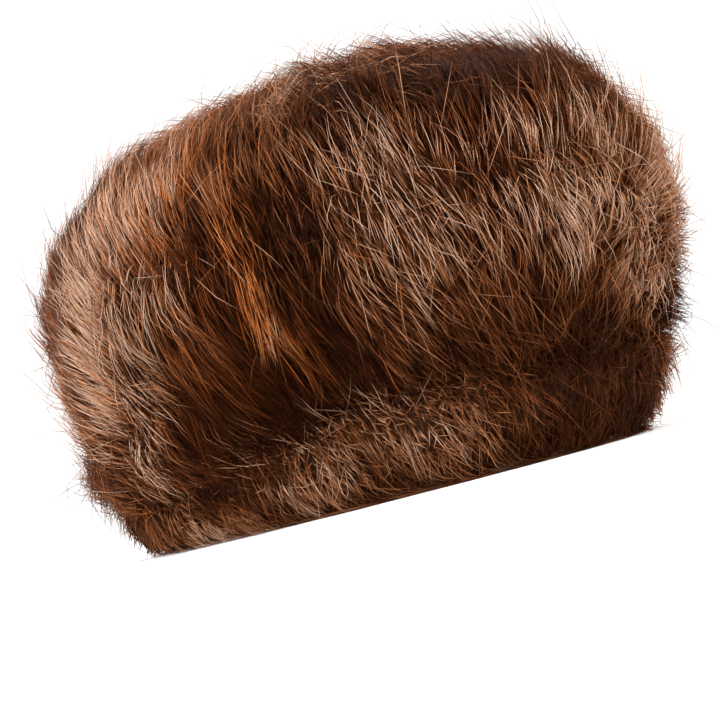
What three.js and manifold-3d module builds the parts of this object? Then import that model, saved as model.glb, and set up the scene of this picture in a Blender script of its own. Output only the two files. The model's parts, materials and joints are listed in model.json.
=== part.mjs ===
// A full-fur ushanka with its front, ear and neck flaps folded up against the crown.
// Millimetres, +Z up. The front of the hat faces -Y, the wearer's right is -X, and the rim
// stands on z = 0. A turn is an angle round the hat from the front, towards the wearer's right.
import * as THREE from 'three';
import { mergeVertices } from 'three/addons/utils/BufferGeometryUtils.js';
import Module from 'manifold-3d';

const wasm = await Module();
wasm.setup();

// Sizes of the opening, for hat size 58, and of the crown's wall
const OPENING_LENGTH = 202;
const OPENING_WIDTH = 166;
const WALL = 3;
const CROWN_TOP = 158;
const FUR_TOP = 183;

// The groove between the rim band and the flaps, higher at the front than at the back
const GROOVE_MID = 34;
const GROOVE_RISE = 6;

// The flaps' edges round the hat in degrees, and the dip in the fur beside the front flap's
const FRONT_EDGE = 58;
const NECK_EDGE = 128;
const SEAM_DIP = 7;
const SEAM_SPREAD = 6;

// The hidden tape that keeps the ear flaps up, from one flap over the crown to the other
const TIE_WIDTH = 12;
const TIE_THICK = 2;
const TIE_END_HEIGHT = 130;

const GAP = 0.3;
const GAP_ANGLE = 0.2;
const SIDES = 32;
const DEG = Math.PI / 180;
const BIG = 500;

// Crown wall: height above the rim, and the share of the opening's plan left at that height
const CROWN_ROWS = [
  { z: 0, plan: 1 },
  { z: 70, plan: 1 },
  { z: 105, plan: 0.96 },
  { z: 130, plan: 0.86 },
  { z: 146, plan: 0.68 },
  { z: 155, plan: 0.4 },
  { z: CROWN_TOP, plan: 0 },
];

// Crown fur: height, and the share of the plan that the fur's dome reaches
const DOME_ROWS = [
  { z: 112, plan: 1.06 },
  { z: 142, plan: 1.09 },
  { z: 155, plan: 1.06 },
  { z: 164, plan: 0.93 },
  { z: 172, plan: 0.72 },
  { z: 179, plan: 0.42 },
  { z: FUR_TOP, plan: 0 },
];

// Rim band: height as a share of the groove's height, and how far the fur stands out of the
// opening at the front and at the back, where the nape's fur is fuller
const BAND_ROWS = [
  { up: 0, front: 11, back: 25 },
  { up: 0.25, front: 17, back: 29 },
  { up: 0.55, front: 22, back: 33 },
  { up: 0.82, front: 25, back: 34 },
  { up: 1, front: 20, back: 31 },
];

// Flaps: share of the way from the groove to the top edge, and the same two reaches
const FLAP_ROWS = [
  { up: 0, front: 22, back: 33 },
  { up: 0.12, front: 31, back: 38 },
  { up: 0.3, front: 41, back: 41 },
  { up: 0.5, front: 44, back: 44 },
  { up: 0.68, front: 40, back: 42 },
  { up: 0.82, front: 32, back: 36 },
  { up: 0.93, front: 23, back: 27 },
  { up: 1, front: 13, back: 14 },
];
const FLAP_TOP_FRONT = 157;
const FLAP_TOP_BACK = 145;

// The face of the flaps that meets the crown: height and reach outside the opening
const INNER_ROWS = [
  { z: 0, reach: WALL + GAP },
  { z: 70, reach: WALL + GAP },
  { z: 140, reach: 1 },
  { z: 200, reach: 32 },
];

// The way the hair lies round the hat: degrees off straight down, positive towards the front
// on the wearer's right
const LEAN_ROWS = [
  { turn: -180, lean: 0 },
  { turn: -140, lean: -24 },
  { turn: -100, lean: -28 },
  { turn: -59, lean: -12 },
  { turn: -57, lean: -34 },
  { turn: -20, lean: -26 },
  { turn: 20, lean: -12 },
  { turn: 57, lean: 16 },
  { turn: 59, lean: 10 },
  { turn: 100, lean: 28 },
  { turn: 140, lean: 24 },
  { turn: 180, lean: 0 },
];

// Locks: how thick they are, how far their tips stand out of the fur's face, and how far the
// backing that they grow from lies under it
const LOCK_DEPTH = 6;
const LOCK_TIP_RISE = 3;
const BACKING_SUNK = 3.6;

// How far a backing runs past the groove before the groove's plane cuts it
const OVERRUN = 5;

function between(rows, key, at, column) {
  if (at <= rows[0][key]) return rows[0][column];
  for (let i = 1; i < rows.length; i += 1) {
    const low = rows[i - 1];
    const high = rows[i];
    if (at <= high[key]) {
      const share = (at - low[key]) / (high[key] - low[key]);
      return low[column] + share * (high[column] - low[column]);
    }
  }
  return rows[rows.length - 1][column];
}

// A repeatable number from 0 to 1 for each count, for the small differences between locks
function vary(count) {
  const wave = Math.sin(count * 12.9898 + 4.1) * 43758.5453;
  return wave - Math.floor(wave);
}

// How much a turn belongs to the back of the hat, from 0 in front of the ears to 1 behind them
function backShare(turn) {
  return THREE.MathUtils.smoothstep(Math.abs(turn), 45, 110);
}

function mixed(rows, up, turn) {
  const share = backShare(turn);
  return (1 - share) * between(rows, 'up', up, 'front') + share * between(rows, 'up', up, 'back');
}

// A point at a turn, so far outside the opening's outline scaled by plan
function planPoint(turn, z, reach, plan = 1) {
  const halfWidth = (OPENING_WIDTH / 2) * plan + reach;
  const halfLength = (OPENING_LENGTH / 2) * plan + reach;
  return new THREE.Vector3(
    -halfWidth * Math.sin(turn * DEG),
    -halfLength * Math.cos(turn * DEG),
    z,
  );
}

function grooveHeight(turn) {
  return GROOVE_MID + GROOVE_RISE * Math.cos(turn * DEG);
}

function flapTop(turn) {
  const share = backShare(turn);
  return (1 - share) * FLAP_TOP_FRONT + share * FLAP_TOP_BACK;
}

// The fur dips where the front flap's ends meet the ear flaps
function seamDip(turn) {
  const away = (Math.abs(turn) - FRONT_EDGE) / SEAM_SPREAD;
  return SEAM_DIP * Math.exp(-away * away);
}

// The outer face of the fur: sunk by so much, at a turn and a share of the way up
function bandFace(turn, up, sunk = 0) {
  return planPoint(turn, up * grooveHeight(turn), mixed(BAND_ROWS, up, turn) - sunk);
}

function flapFace(turn, up, sunk = 0) {
  const crest = THREE.MathUtils.smoothstep(up, 0.9, 1);
  const z = grooveHeight(turn) + up * (flapTop(turn) - grooveHeight(turn)) - sunk * crest;
  return planPoint(turn, z, mixed(FLAP_ROWS, up, turn) - seamDip(turn) - sunk);
}

function domeFace(turn, up, sunk = 0) {
  const z = DOME_ROWS[0].z + up * (FUR_TOP - DOME_ROWS[0].z);
  return planPoint(turn, z - sunk * up, 0, between(DOME_ROWS, 'z', z, 'plan'));
}

// A closed solid swept round the hat from the profile at each turn. An open profile starts
// and ends on the axis, and a closed one joins its last point to its first.
function swept(profileAt, closed) {
  const columns = [];
  for (let i = 0; i < SIDES; i += 1) columns.push(profileAt((360 * i) / SIDES - 180));
  const rows = columns[0].length;
  const points = [];
  const put = (a, b, c) => {
    if (a.distanceTo(b) < 1e-6 || b.distanceTo(c) < 1e-6 || c.distanceTo(a) < 1e-6) return;
    points.push(a, b, c);
  };
  for (let i = 0; i < SIDES; i += 1) {
    const here = columns[i];
    const next = columns[(i + 1) % SIDES];
    for (let j = 0; j < (closed ? rows : rows - 1); j += 1) {
      const k = (j + 1) % rows;
      put(here[j], next[k], here[k]);
      put(here[j], next[j], next[k]);
    }
  }
  return new THREE.BufferGeometry().setFromPoints(points);
}

function solid(geometry) {
  const bare = geometry.clone();
  bare.deleteAttribute('normal');
  bare.deleteAttribute('uv');
  const merged = mergeVertices(bare, 1e-4);
  return new wasm.Manifold(new wasm.Mesh({
    numProp: 3,
    vertProperties: new Float32Array(merged.attributes.position.array),
    triVerts: new Uint32Array(merged.index.array),
  }));
}

function mesh(name, body, colour, roughness) {
  const data = body.getMesh();
  const geometry = new THREE.BufferGeometry();
  geometry.setAttribute('position', new THREE.BufferAttribute(data.vertProperties, 3));
  geometry.setIndex(new THREE.BufferAttribute(data.triVerts, 1));
  geometry.computeVertexNormals();
  const material = new THREE.MeshStandardMaterial({ color: colour, roughness, metalness: 0 });
  const made = new THREE.Mesh(geometry, material);
  made.name = name;
  return made;
}

// All that lies above the groove's tilted plane, or below it, clear of it by half a gap
function grooveSide(side) {
  const slab = new THREE.BoxGeometry(BIG, BIG, BIG);
  slab.translate(0, 0, side * (BIG / 2 + GAP / 2));
  slab.rotateX(-Math.atan(GROOVE_RISE / (OPENING_LENGTH / 2)));
  slab.translate(0, 0, GROOVE_MID);
  return solid(slab);
}

// A slice of the space round the axis, for one flap
function slice(from, to) {
  const outline = new THREE.Shape();
  outline.moveTo(0, 0);
  for (let step = 0; step <= 8; step += 1) {
    const turn = from + GAP_ANGLE / 2 + ((to - from - GAP_ANGLE) * step) / 8;
    outline.lineTo(-BIG * Math.sin(turn * DEG), -BIG * Math.cos(turn * DEG));
  }
  return solid(new THREE.ExtrudeGeometry(outline, { depth: BIG, bevelEnabled: false }));
}

// The space inside the flaps' inner face, grown by so much
function insideFlaps(grown) {
  return solid(swept((turn) => {
    const wall = INNER_ROWS.map((row) => planPoint(turn, row.z, row.reach + grown));
    const low = new THREE.Vector3(0, 0, INNER_ROWS[0].z);
    const high = new THREE.Vector3(0, 0, INNER_ROWS[INNER_ROWS.length - 1].z);
    return [high, ...wall.reverse(), low];
  }, false));
}

// One lock of hair: a ridge that starts under the face, follows the lie of the hair over it
// and ends in a free tip. Its flow is in degrees off straight down.
const LOCK_ROWS = [
  { along: 0, width: 0.7, ridge: -0.55, edge: -1.1 },
  { along: 0.4, width: 1, ridge: 0.65, edge: -0.95 },
  { along: 0.78, width: 0.6, ridge: 0.65, edge: -0.65 },
];

// The lie of a face at a turn and a share of the way up: the directions out of it and along
// the hair, and how far one degree of turn and the whole way up are on it
function lieOf(face, { turn, up }, flow) {
  const step = 0.01;
  const here = face(turn, up);
  const round = face(turn - 1, up).sub(here);
  const rise = face(turn, up + step).sub(here);
  const out = new THREE.Vector3().crossVectors(round, rise).normalize();
  const heading = rise.clone().normalize().multiplyScalar(-Math.cos(flow * DEG));
  heading.addScaledVector(round.clone().normalize(), Math.sin(flow * DEG));
  const across = new THREE.Vector3().crossVectors(out, heading).normalize();
  return { here, out, across, degree: round.length(), height: rise.length() / step };
}

function lock(face, start, flow, length, width) {
  const at = { ...start };
  const walk = (distance) => {
    const { degree, height } = lieOf(face, at, flow);
    at.turn -= (distance * Math.sin(flow * DEG)) / degree;
    at.up -= (distance * Math.cos(flow * DEG)) / height;
  };
  const sections = [];
  let walked = 0;
  LOCK_ROWS.forEach((row) => {
    walk((row.along - walked) * length);
    walked = row.along;
    const { here, out, across } = lieOf(face, at, flow);
    const place = (sideways, rise) => here.clone()
      .addScaledVector(across, (sideways * row.width * width) / 2)
      .addScaledVector(out, rise * LOCK_DEPTH);
    sections.push([place(-1, row.edge), place(0, row.ridge), place(1, row.edge)]);
  });
  walk((1 - walked) * length);
  const end = lieOf(face, at, flow);
  const tip = end.here.clone().addScaledVector(end.out, LOCK_TIP_RISE);
  sections.push([tip, tip, tip]);

  const points = [...sections[0]];
  for (let i = 1; i < sections.length; i += 1) {
    for (let j = 0; j < 3; j += 1) {
      const k = (j + 1) % 3;
      points.push(sections[i - 1][j], sections[i][k], sections[i - 1][k]);
      if (sections[i][j] !== tip) points.push(sections[i - 1][j], sections[i][j], sections[i][k]);
    }
  }
  return solid(new THREE.BufferGeometry().setFromPoints(points));
}

// Rows of locks over a face between two turns, each row staggered against the last
function locks(face, from, to, rows, seed) {
  const made = [];
  let count = seed;
  rows.forEach((row, index) => {
    for (let i = 0; i < row.count; i += 1) {
      count += 1;
      const stagger = index % 2 ? 0.25 : 0.75;
      const turn = from + ((to - from) * (i + stagger + 0.3 * (vary(count) - 0.5))) / row.count;
      const lean = between(LEAN_ROWS, 'turn', turn, 'lean') + 14 * (vary(count + 0.3) - 0.5);
      const flow = row.upward ? 180 - lean : lean;
      const up = row.up + 0.05 * (vary(count + 0.6) - 0.5);
      const length = row.length * (0.85 + 0.3 * vary(count + 0.9));
      made.push(lock(face, { turn, up }, flow, length, row.width));
    }
  });
  return made;
}

// The largest outer skin of a body, without crumbs cut off it or pockets shut under its locks
function whole(body) {
  return body.decompose().reduce((best, part) => (part.volume() > best.volume() ? part : best));
}

// Crown: an open dome of even wall
function crownFace(turn, row, out) {
  const z = row.plan === 0 ? row.z - WALL + out : row.z;
  return planPoint(turn, z, row.plan === 0 ? 0 : out, row.plan);
}

const crown = solid(swept((turn) => {
  const inner = CROWN_ROWS.map((row) => crownFace(turn, row, 0));
  const outer = CROWN_ROWS.map((row) => crownFace(turn, row, WALL));
  return [...outer.reverse(), ...inner];
}, false));

// Rim band: a fur roll with a flat underside, on which the hat stands
const bandLocks = [
  { up: 0.95, count: 17, length: 28, width: 27 },
  { up: 0.6, count: 15, length: 28, width: 28 },
];
const bandBacking = solid(swept((turn) => {
  const outer = BAND_ROWS.map((row) => bandFace(turn, row.up, BACKING_SUNK));
  const inner = [grooveHeight(turn), 0].map((z) => planPoint(turn, z, WALL + GAP));
  outer[outer.length - 1].z += OVERRUN;
  inner[0].z += OVERRUN;
  return [...outer.reverse(), ...inner.reverse()];
}, true));
const floor = new THREE.BoxGeometry(BIG, BIG, BIG).translate(0, 0, BIG / 2);
const band = whole(wasm.Manifold.union([bandBacking, ...locks(bandFace, -180, 180, bandLocks, 100)])
  .intersect(grooveSide(-1))
  .intersect(solid(floor))
  .subtract(insideFlaps(0)));

// Flaps: one ring of fur, cut into four by the seams
const flapBacking = solid(swept((turn) => {
  const outer = FLAP_ROWS.map((row) => flapFace(turn, row.up, BACKING_SUNK));
  outer[0].z -= OVERRUN;
  const inner = [
    planPoint(turn, outer[outer.length - 1].z, 0),
    planPoint(turn, outer[0].z, 0),
  ];
  return [...outer.reverse(), ...inner.reverse()];
}, true));
const aroundCrown = insideFlaps(0);

function flap(from, to, share, seed) {
  const rows = [
    { up: 0.86, count: 7, length: 28, width: 30, upward: true },
    { up: 0.8, count: 7, length: 46, width: 30 },
    { up: 0.58, count: 7, length: 46, width: 30 },
    { up: 0.36, count: 7, length: 40, width: 30 },
    { up: 0.17, count: 8, length: 26, width: 28 },
  ].map((row) => ({ ...row, count: Math.round(row.count * share) }));
  return whole(wasm.Manifold.union([flapBacking, ...locks(flapFace, from, to, rows, seed)])
    .intersect(grooveSide(1))
    .subtract(aroundCrown)
    .intersect(slice(from, to)));
}

const frontFlap = flap(-FRONT_EDGE, FRONT_EDGE, 1, 200);
const rightEarFlap = flap(FRONT_EDGE, NECK_EDGE, 0.6, 300);
const leftEarFlap = flap(-NECK_EDGE, -FRONT_EDGE, 0.6, 400);
const neckFlap = flap(NECK_EDGE, 360 - NECK_EDGE, 0.75, 500);

// Flap tie: a tape that lies over the crown from the top of one ear flap to the other's
function tie(grown) {
  const end = new THREE.Vector2(
    OPENING_WIDTH / 2 + between(INNER_ROWS, 'z', TIE_END_HEIGHT, 'reach') - GAP - TIE_THICK,
    TIE_END_HEIGHT,
  );
  const half = CROWN_ROWS.filter((row) => row.plan < 0.8 && row.plan > 0).map((row) => (
    new THREE.Vector2((OPENING_WIDTH / 2) * row.plan + WALL + GAP, row.z + GAP)
  ));
  const right = [end, ...half];
  const left = right.map((point) => new THREE.Vector2(-point.x, point.y)).reverse();
  const middle = new THREE.Vector2(0, CROWN_TOP + GAP);
  const under = [...right, middle, ...left];
  const outwards = under.map((point, index) => {
    const last = under[Math.max(index - 1, 0)];
    const next = under[Math.min(index + 1, under.length - 1)];
    const along = next.clone().sub(last).normalize();
    return new THREE.Vector2(along.y, -along.x);
  });
  const shifted = (away) => under.map((point, i) => point.clone().addScaledVector(outwards[i], away));
  const outline = new THREE.Shape([...shifted(-grown), ...shifted(TIE_THICK + grown).reverse()]);
  const tape = new THREE.ExtrudeGeometry(outline, {
    depth: TIE_WIDTH + 2 * grown,
    bevelEnabled: false,
  });
  tape.translate(0, 0, -TIE_WIDTH / 2 - grown);
  tape.rotateX(Math.PI / 2);
  return solid(tape);
}

// Crown fur: a deep cushion of hair on the dome, which fills the gutter behind the flaps
const domeLocks = [
  { up: 0.77, count: 12, length: 30, width: 36 },
  { up: 0.9, count: 8, length: 40, width: 40 },
  { up: 0.97, count: 4, length: 40, width: 40 },
];
const domeBacking = solid(swept((turn) => {
  const outer = DOME_ROWS.map((row) => {
    const up = (row.z - DOME_ROWS[0].z) / (FUR_TOP - DOME_ROWS[0].z);
    return domeFace(turn, up, BACKING_SUNK);
  });
  const foot = { z: DOME_ROWS[0].z, plan: between(CROWN_ROWS, 'z', DOME_ROWS[0].z, 'plan') };
  const inner = [foot, ...CROWN_ROWS.filter((row) => row.z > foot.z)]
    .map((row) => planPoint(turn, row.z + GAP, row.plan ? WALL + GAP : 0, row.plan));
  return [...outer.reverse(), ...inner];
}, false));
const crownFur = whole(wasm.Manifold.union([domeBacking, ...locks(domeFace, -180, 180, domeLocks, 600)])
  .intersect(insideFlaps(-GAP))
  .subtract(tie(GAP)));

const group = new THREE.Group();
group.add(
  mesh('crown', crown, 0x3a2416, 0.9),
  mesh('flap_tie', tie(0), 0x2c1b12, 0.8),
  mesh('crown_fur', crownFur, 0x6b4029, 0.85),
  mesh('rim_band', band, 0x5a3420, 0.85),
  mesh('front_flap', frontFlap, 0x6b4029, 0.85),
  mesh('right_ear_flap', rightEarFlap, 0x7a4a2c, 0.85),
  mesh('left_ear_flap', leftEarFlap, 0x7a4a2c, 0.85),
  mesh('neck_flap', neckFlap, 0x6f432a, 0.85),
);

// The middle of the hat's footprint goes over the origin
const box = new THREE.Box3().setFromObject(group);
group.position.set(-(box.min.x + box.max.x) / 2, -(box.min.y + box.max.y) / 2, -box.min.z);

export default group;
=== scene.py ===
# %% [markdown]
# A full-fur ushanka stands on a pale studio floor with its flaps folded up. The CAD frame holds
# the hat's build: a hollow crown, fur flaps round it and a fur band at the rim. This lesson
# grows the coat on that frame: dense underfur first, then long guard hair in locks, then the
# loose hairs that break the outline.

# %% Load the fixed frame
import json
import math

import bpy
import numpy as np
from mathutils import Matrix, Vector
from mathutils.bvhtree import BVHTree
from mathutils.kdtree import KDTree

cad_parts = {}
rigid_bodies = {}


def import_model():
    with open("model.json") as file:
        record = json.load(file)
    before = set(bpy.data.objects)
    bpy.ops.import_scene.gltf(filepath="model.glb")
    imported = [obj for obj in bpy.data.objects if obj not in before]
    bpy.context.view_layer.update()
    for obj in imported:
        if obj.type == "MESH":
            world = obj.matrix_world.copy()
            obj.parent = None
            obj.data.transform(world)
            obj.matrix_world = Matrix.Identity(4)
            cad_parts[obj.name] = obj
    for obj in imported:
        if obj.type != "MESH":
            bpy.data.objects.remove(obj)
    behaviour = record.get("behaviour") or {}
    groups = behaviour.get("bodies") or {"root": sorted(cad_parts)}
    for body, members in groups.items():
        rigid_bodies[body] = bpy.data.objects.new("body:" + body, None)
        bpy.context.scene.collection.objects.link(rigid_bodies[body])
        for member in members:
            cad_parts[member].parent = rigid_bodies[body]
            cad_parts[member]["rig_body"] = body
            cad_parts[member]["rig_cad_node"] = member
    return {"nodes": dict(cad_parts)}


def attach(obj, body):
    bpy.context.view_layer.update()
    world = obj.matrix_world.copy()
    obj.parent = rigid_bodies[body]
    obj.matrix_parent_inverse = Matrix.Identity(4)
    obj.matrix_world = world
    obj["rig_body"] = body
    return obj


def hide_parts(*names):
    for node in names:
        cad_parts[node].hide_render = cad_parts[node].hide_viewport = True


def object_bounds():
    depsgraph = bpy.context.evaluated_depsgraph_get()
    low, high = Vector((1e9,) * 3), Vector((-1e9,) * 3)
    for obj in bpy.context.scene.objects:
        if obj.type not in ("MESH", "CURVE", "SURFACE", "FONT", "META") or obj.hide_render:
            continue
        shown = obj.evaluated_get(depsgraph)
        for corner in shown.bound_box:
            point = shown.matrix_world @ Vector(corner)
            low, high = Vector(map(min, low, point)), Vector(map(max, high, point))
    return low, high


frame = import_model()
cad_low, cad_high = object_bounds()
MM = 0.001
print("CAD box in millimetres", [round(v / MM, 1) for v in (*cad_low, *cad_high)])

# %% [markdown]
# The photograph looks at the hat's front right corner with a long lens, and the hat leans to
# the left in the picture. A camera can be placed by hand or by angles. Angles are easier to
# check: the camera stands round the hat and just above the floor, and is rolled by the lean.

# %% Camera
CAMERA_TURN = -43
CAMERA_RISE = -2
CAMERA_ROLL = math.radians(14.6)
CAMERA_DISTANCE = 1.1
CAMERA_LENS = 131
AIM_SIDE = -9.3 * MM
AIM_HEIGHT = 58.7 * MM


def direction(turn, rise):
    """The way from the hat to a place round it, from two angles in degrees."""
    turn, rise = math.radians(turn), math.radians(rise)
    return Vector((
        math.sin(turn) * math.cos(rise),
        -math.cos(turn) * math.cos(rise),
        math.sin(rise),
    ))


def link(piece):
    bpy.context.scene.collection.objects.link(piece)


back = direction(CAMERA_TURN, CAMERA_RISE)
right = Vector((0, 0, 1)).cross(back).normalized()
up = back.cross(right)
rolled_right = right * math.cos(CAMERA_ROLL) - up * math.sin(CAMERA_ROLL)
rolled_up = right * math.sin(CAMERA_ROLL) + up * math.cos(CAMERA_ROLL)

camera_data = bpy.data.cameras.new("studio_camera")
camera_data.lens = CAMERA_LENS
camera = bpy.data.objects.new("studio_camera", camera_data)
link(camera)
aim = right * AIM_SIDE + Vector((0, 0, AIM_HEIGHT))
turned = Matrix((rolled_right, rolled_up, back)).transposed().to_4x4()
camera.matrix_world = Matrix.Translation(aim + back * CAMERA_DISTANCE) @ turned
bpy.context.scene.camera = camera
print("camera at", [round(v, 3) for v in camera.location])

# %% [markdown]
# The studio is a round pale sweep: a disc whose edge curves up into a wall, so that no horizon
# shows. A sheet that is bent up at one side would do for one camera, but a disc looks the same
# from every side. It starts as a circle whose rim is extruded outwards and upwards in rings.

# %% Floor and backdrop
SWEEP_SIDES = 96
SWEEP_FLOOR = 3.0
SWEEP_BEND = 1.2
SWEEP_WALL = 0.6
SWEEP_STEPS = 8


def deselect_all():
    bpy.ops.object.select_all(action="DESELECT")


deselect_all()
bpy.ops.mesh.primitive_circle_add(vertices=SWEEP_SIDES, radius=SWEEP_FLOOR, fill_type="NGON")
sweep = bpy.context.object
sweep.name = "studio_sweep"
bpy.ops.object.mode_set(mode="EDIT")
radius, height = SWEEP_FLOOR, 0.0
for step in range(1, SWEEP_STEPS + 2):
    bend = math.radians(90) * min(step, SWEEP_STEPS) / SWEEP_STEPS
    wall = SWEEP_WALL if step > SWEEP_STEPS else 0
    next_radius = SWEEP_FLOOR + SWEEP_BEND * math.sin(bend)
    next_height = SWEEP_BEND * (1 - math.cos(bend)) + wall
    bpy.ops.mesh.extrude_edges_move()
    bpy.ops.transform.resize(value=(next_radius / radius, next_radius / radius, 1))
    bpy.ops.transform.translate(value=(0, 0, next_height - height))
    radius, height = next_radius, next_height
bpy.ops.object.mode_set(mode="OBJECT")
bpy.ops.object.shade_smooth()
print("sweep", len(sweep.data.polygons), "faces, wall top at", round(height, 2), "m")

# %% [markdown]
# The paint of the sweep is nearly white, with a very slight cloudiness. A little glow of its own
# takes the grey out of the floor's shade, as the many soft lamps of a photographer's table do.
# The helpers here build every finish of the lesson from noises and colour ramps.

# %% Pale studio paint
STUDIO_GLOW = 0.12


def add_node(tree, kind, **settings):
    """Adds a node and sets its properties by name."""
    node = tree.nodes.new(kind)
    for key, value in settings.items():
        setattr(node, key, value)
    return node


def set_inputs(node, values):
    """Sets a node's own values by the names of its sockets."""
    for name, value in values.items():
        node.inputs[name].default_value = value


def new_material(name, roughness, gloss):
    """A material with its node tree and its shader, which is rough or smooth and glossy or matt."""
    material = bpy.data.materials.new(name)
    material.use_nodes = True
    shader = material.node_tree.nodes["Principled BSDF"]
    set_inputs(shader, {"Roughness": roughness, "Specular IOR Level": gloss})
    return material, material.node_tree, shader


def streaked_noise(tree, scale, stretch, detail):
    """A noise on object coordinates, drawn out along Z by the stretch."""
    place = add_node(tree, "ShaderNodeTexCoord")
    mapping = add_node(tree, "ShaderNodeMapping")
    texture = add_node(tree, "ShaderNodeTexNoise")
    set_inputs(mapping, {"Scale": (1, 1, 1 / stretch)})
    set_inputs(texture, {"Scale": scale, "Detail": detail})
    tree.links.new(place.outputs["Object"], mapping.inputs["Vector"])
    tree.links.new(mapping.outputs["Vector"], texture.inputs["Vector"])
    return texture.outputs["Fac"]


def ramp(tree, source, stops):
    """A colour ramp over a socket, from rows of place and colour."""
    node = add_node(tree, "ShaderNodeValToRGB")
    elements = node.color_ramp.elements
    while len(elements) < len(stops):
        elements.new(0.5)
    for element, (at, colour) in zip(elements, stops):
        element.position = at
        element.color = (*colour, 1)
    tree.links.new(source, node.inputs["Fac"])
    return node.outputs["Color"]


paint, tree, shader = new_material("studio_paint", roughness=0.9, gloss=0.1)
shade = ramp(tree, streaked_noise(tree, scale=2, stretch=1, detail=2), [
    (0.0, (0.93, 0.93, 0.93)),
    (1.0, (0.96, 0.96, 0.96)),
])
tree.links.new(shade, shader.inputs["Base Color"])
set_inputs(shader, {"Emission Color": (1, 1, 1, 1), "Emission Strength": STUDIO_GLOW})
sweep.data.materials.append(paint)
print(paint.name, "has", len(tree.nodes), "nodes")

# %% [markdown]
# Fur shows by its highlights, so the light is soft but has a side to it: a large key lamp at the
# upper left, a second one at the right, a weak one in front, one behind for the upper edge, and a
# white world. A picture of a real studio could be the light, but nothing so matt would show it.

# %% Lights
# Each row: name, turn and rise in degrees, power in watts, size in metres.
LAMPS = [
    ("key", -95, 38, 26, 0.9),
    ("side", 20, 30, 20, 0.8),
    ("front", -40, 12, 6, 0.8),
    ("top", 180, 62, 16, 1.0),
]
LAMP_DISTANCE = 1.6
WORLD_STRENGTH = 0.95

middle = (cad_low + cad_high) / 2
for name, turn, rise, power, size in LAMPS:
    towards = direction(turn, rise)
    data = bpy.data.lights.new(name, "AREA")
    data.shape = "DISK"
    data.size = size
    data.energy = power
    light = bpy.data.objects.new(name, data)
    link(light)
    light.location = middle + towards * LAMP_DISTANCE
    light.rotation_mode = "QUATERNION"
    light.rotation_quaternion = towards.to_track_quat("Z", "Y")
    light.visible_camera = False

world = bpy.data.worlds.new("studio_world")
bpy.context.scene.world = world
world.use_nodes = True
sky = world.node_tree.nodes["Background"]
set_inputs(sky, {"Color": (1, 1, 1, 1), "Strength": WORLD_STRENGTH})
bpy.context.scene.view_settings.view_transform = "Standard"
print(len(LAMPS), "lamps of", sum(row[3] for row in LAMPS), "watts in all")

# %% [markdown]
# A coat has more hairs than a loop over them can handle quickly, so all the points of a mesh are
# worked on at once, as arrays. These helpers read them and measure them. One gives the way out
# of the hat at each point: the hat's own faces are too rough for that, a smooth egg is not.

# %% Helpers for arrays of points
HAT_HALF = np.array([0.130, 0.147, 0.115])
HAT_HEART = np.array([0, 0, 0.07])
SIDEWAYS = np.array([1, 1, 0])


def read_vectors(items, name):
    vectors = np.zeros(len(items) * 3)
    items.foreach_get(name, vectors)
    return vectors.reshape(-1, 3)


def dot(a, b):
    return np.einsum("ij,ij->i", a, b)


def unit(vectors):
    return vectors / np.maximum(np.linalg.norm(vectors, axis=1, keepdims=True), 1e-9)


def outward(points):
    """The way out of the hat at each point, as out of a smooth egg of the hat's size."""
    return unit((points - HAT_HEART) / HAT_HALF ** 2)


def sideways(points):
    """The way out of the hat at each point, level with the floor."""
    return unit(outward(points) * SIDEWAYS)


def smooth_step(values, start, full):
    """0 up to the start and 1 from full on, with a soft rise. Start may be the larger of the two."""
    share = np.clip((values - start) / (full - start), 0, 1)
    return share * share * (3 - 2 * share)


def bell(values, middle, width):
    """1 at the middle, and softly less to both sides."""
    return np.exp(-(((values - middle) / width) ** 2))


print("way out at the brow", outward(np.array([[0, -0.13, 0.04]])).round(2))

# %% [markdown]
# Under the guard hair a pelt has dense, short, dark underfur. Its form could be modelled anew,
# but each fur solid of the frame has it already: the solid is copied, its loose triangles are
# merged, and a voxel remesh fuses the locks into one soft skin. Then its outer side is drawn in
# a little, because the hair that grows on it fills the rest of the solid's depth.

# %% Underfur bodies
FUR_NODES = ["front_flap", "right_ear_flap", "left_ear_flap", "neck_flap", "crown_fur", "rim_band"]
WELD = 0.01 * MM
VOXEL = 4.3 * MM
SMOOTHING = 6
DRAWN_IN = 5.5 * MM
OUTER_FACING = 0.5
FLOOR_GAP = 0.3 * MM
FLOOR_SETBACK = 6 * MM
SETBACK_HEIGHT = 14 * MM


def activate(piece):
    deselect_all()
    piece.select_set(True)
    bpy.context.view_layer.objects.active = piece


def apply_modifier(piece, kind, **settings):
    """Adds a modifier, sets its properties by name and applies it."""
    activate(piece)
    modifier = piece.modifiers.new(kind.lower(), kind)
    for key, value in settings.items():
        setattr(modifier, key, value)
    bpy.ops.object.modifier_apply(modifier=modifier.name)


def cad_copy(node, name):
    """A free copy of a CAD node, without the marks that tie the node to the frame."""
    piece = frame["nodes"][node].copy()
    piece.data = frame["nodes"][node].data.copy()
    piece.parent = None
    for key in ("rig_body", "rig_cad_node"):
        if key in piece:
            del piece[key]
    piece.name = name
    link(piece)
    return piece


def fuse_locks(piece):
    """Turns loose triangles in thick locks into one soft closed skin."""
    activate(piece)
    bpy.ops.object.mode_set(mode="EDIT")
    bpy.ops.mesh.select_all(action="SELECT")
    bpy.ops.mesh.remove_doubles(threshold=WELD)
    bpy.ops.object.mode_set(mode="OBJECT")
    apply_modifier(piece, "REMESH", mode="VOXEL", voxel_size=VOXEL)
    apply_modifier(piece, "SMOOTH", factor=0.5, iterations=SMOOTHING)
    bpy.ops.object.shade_smooth()


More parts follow.
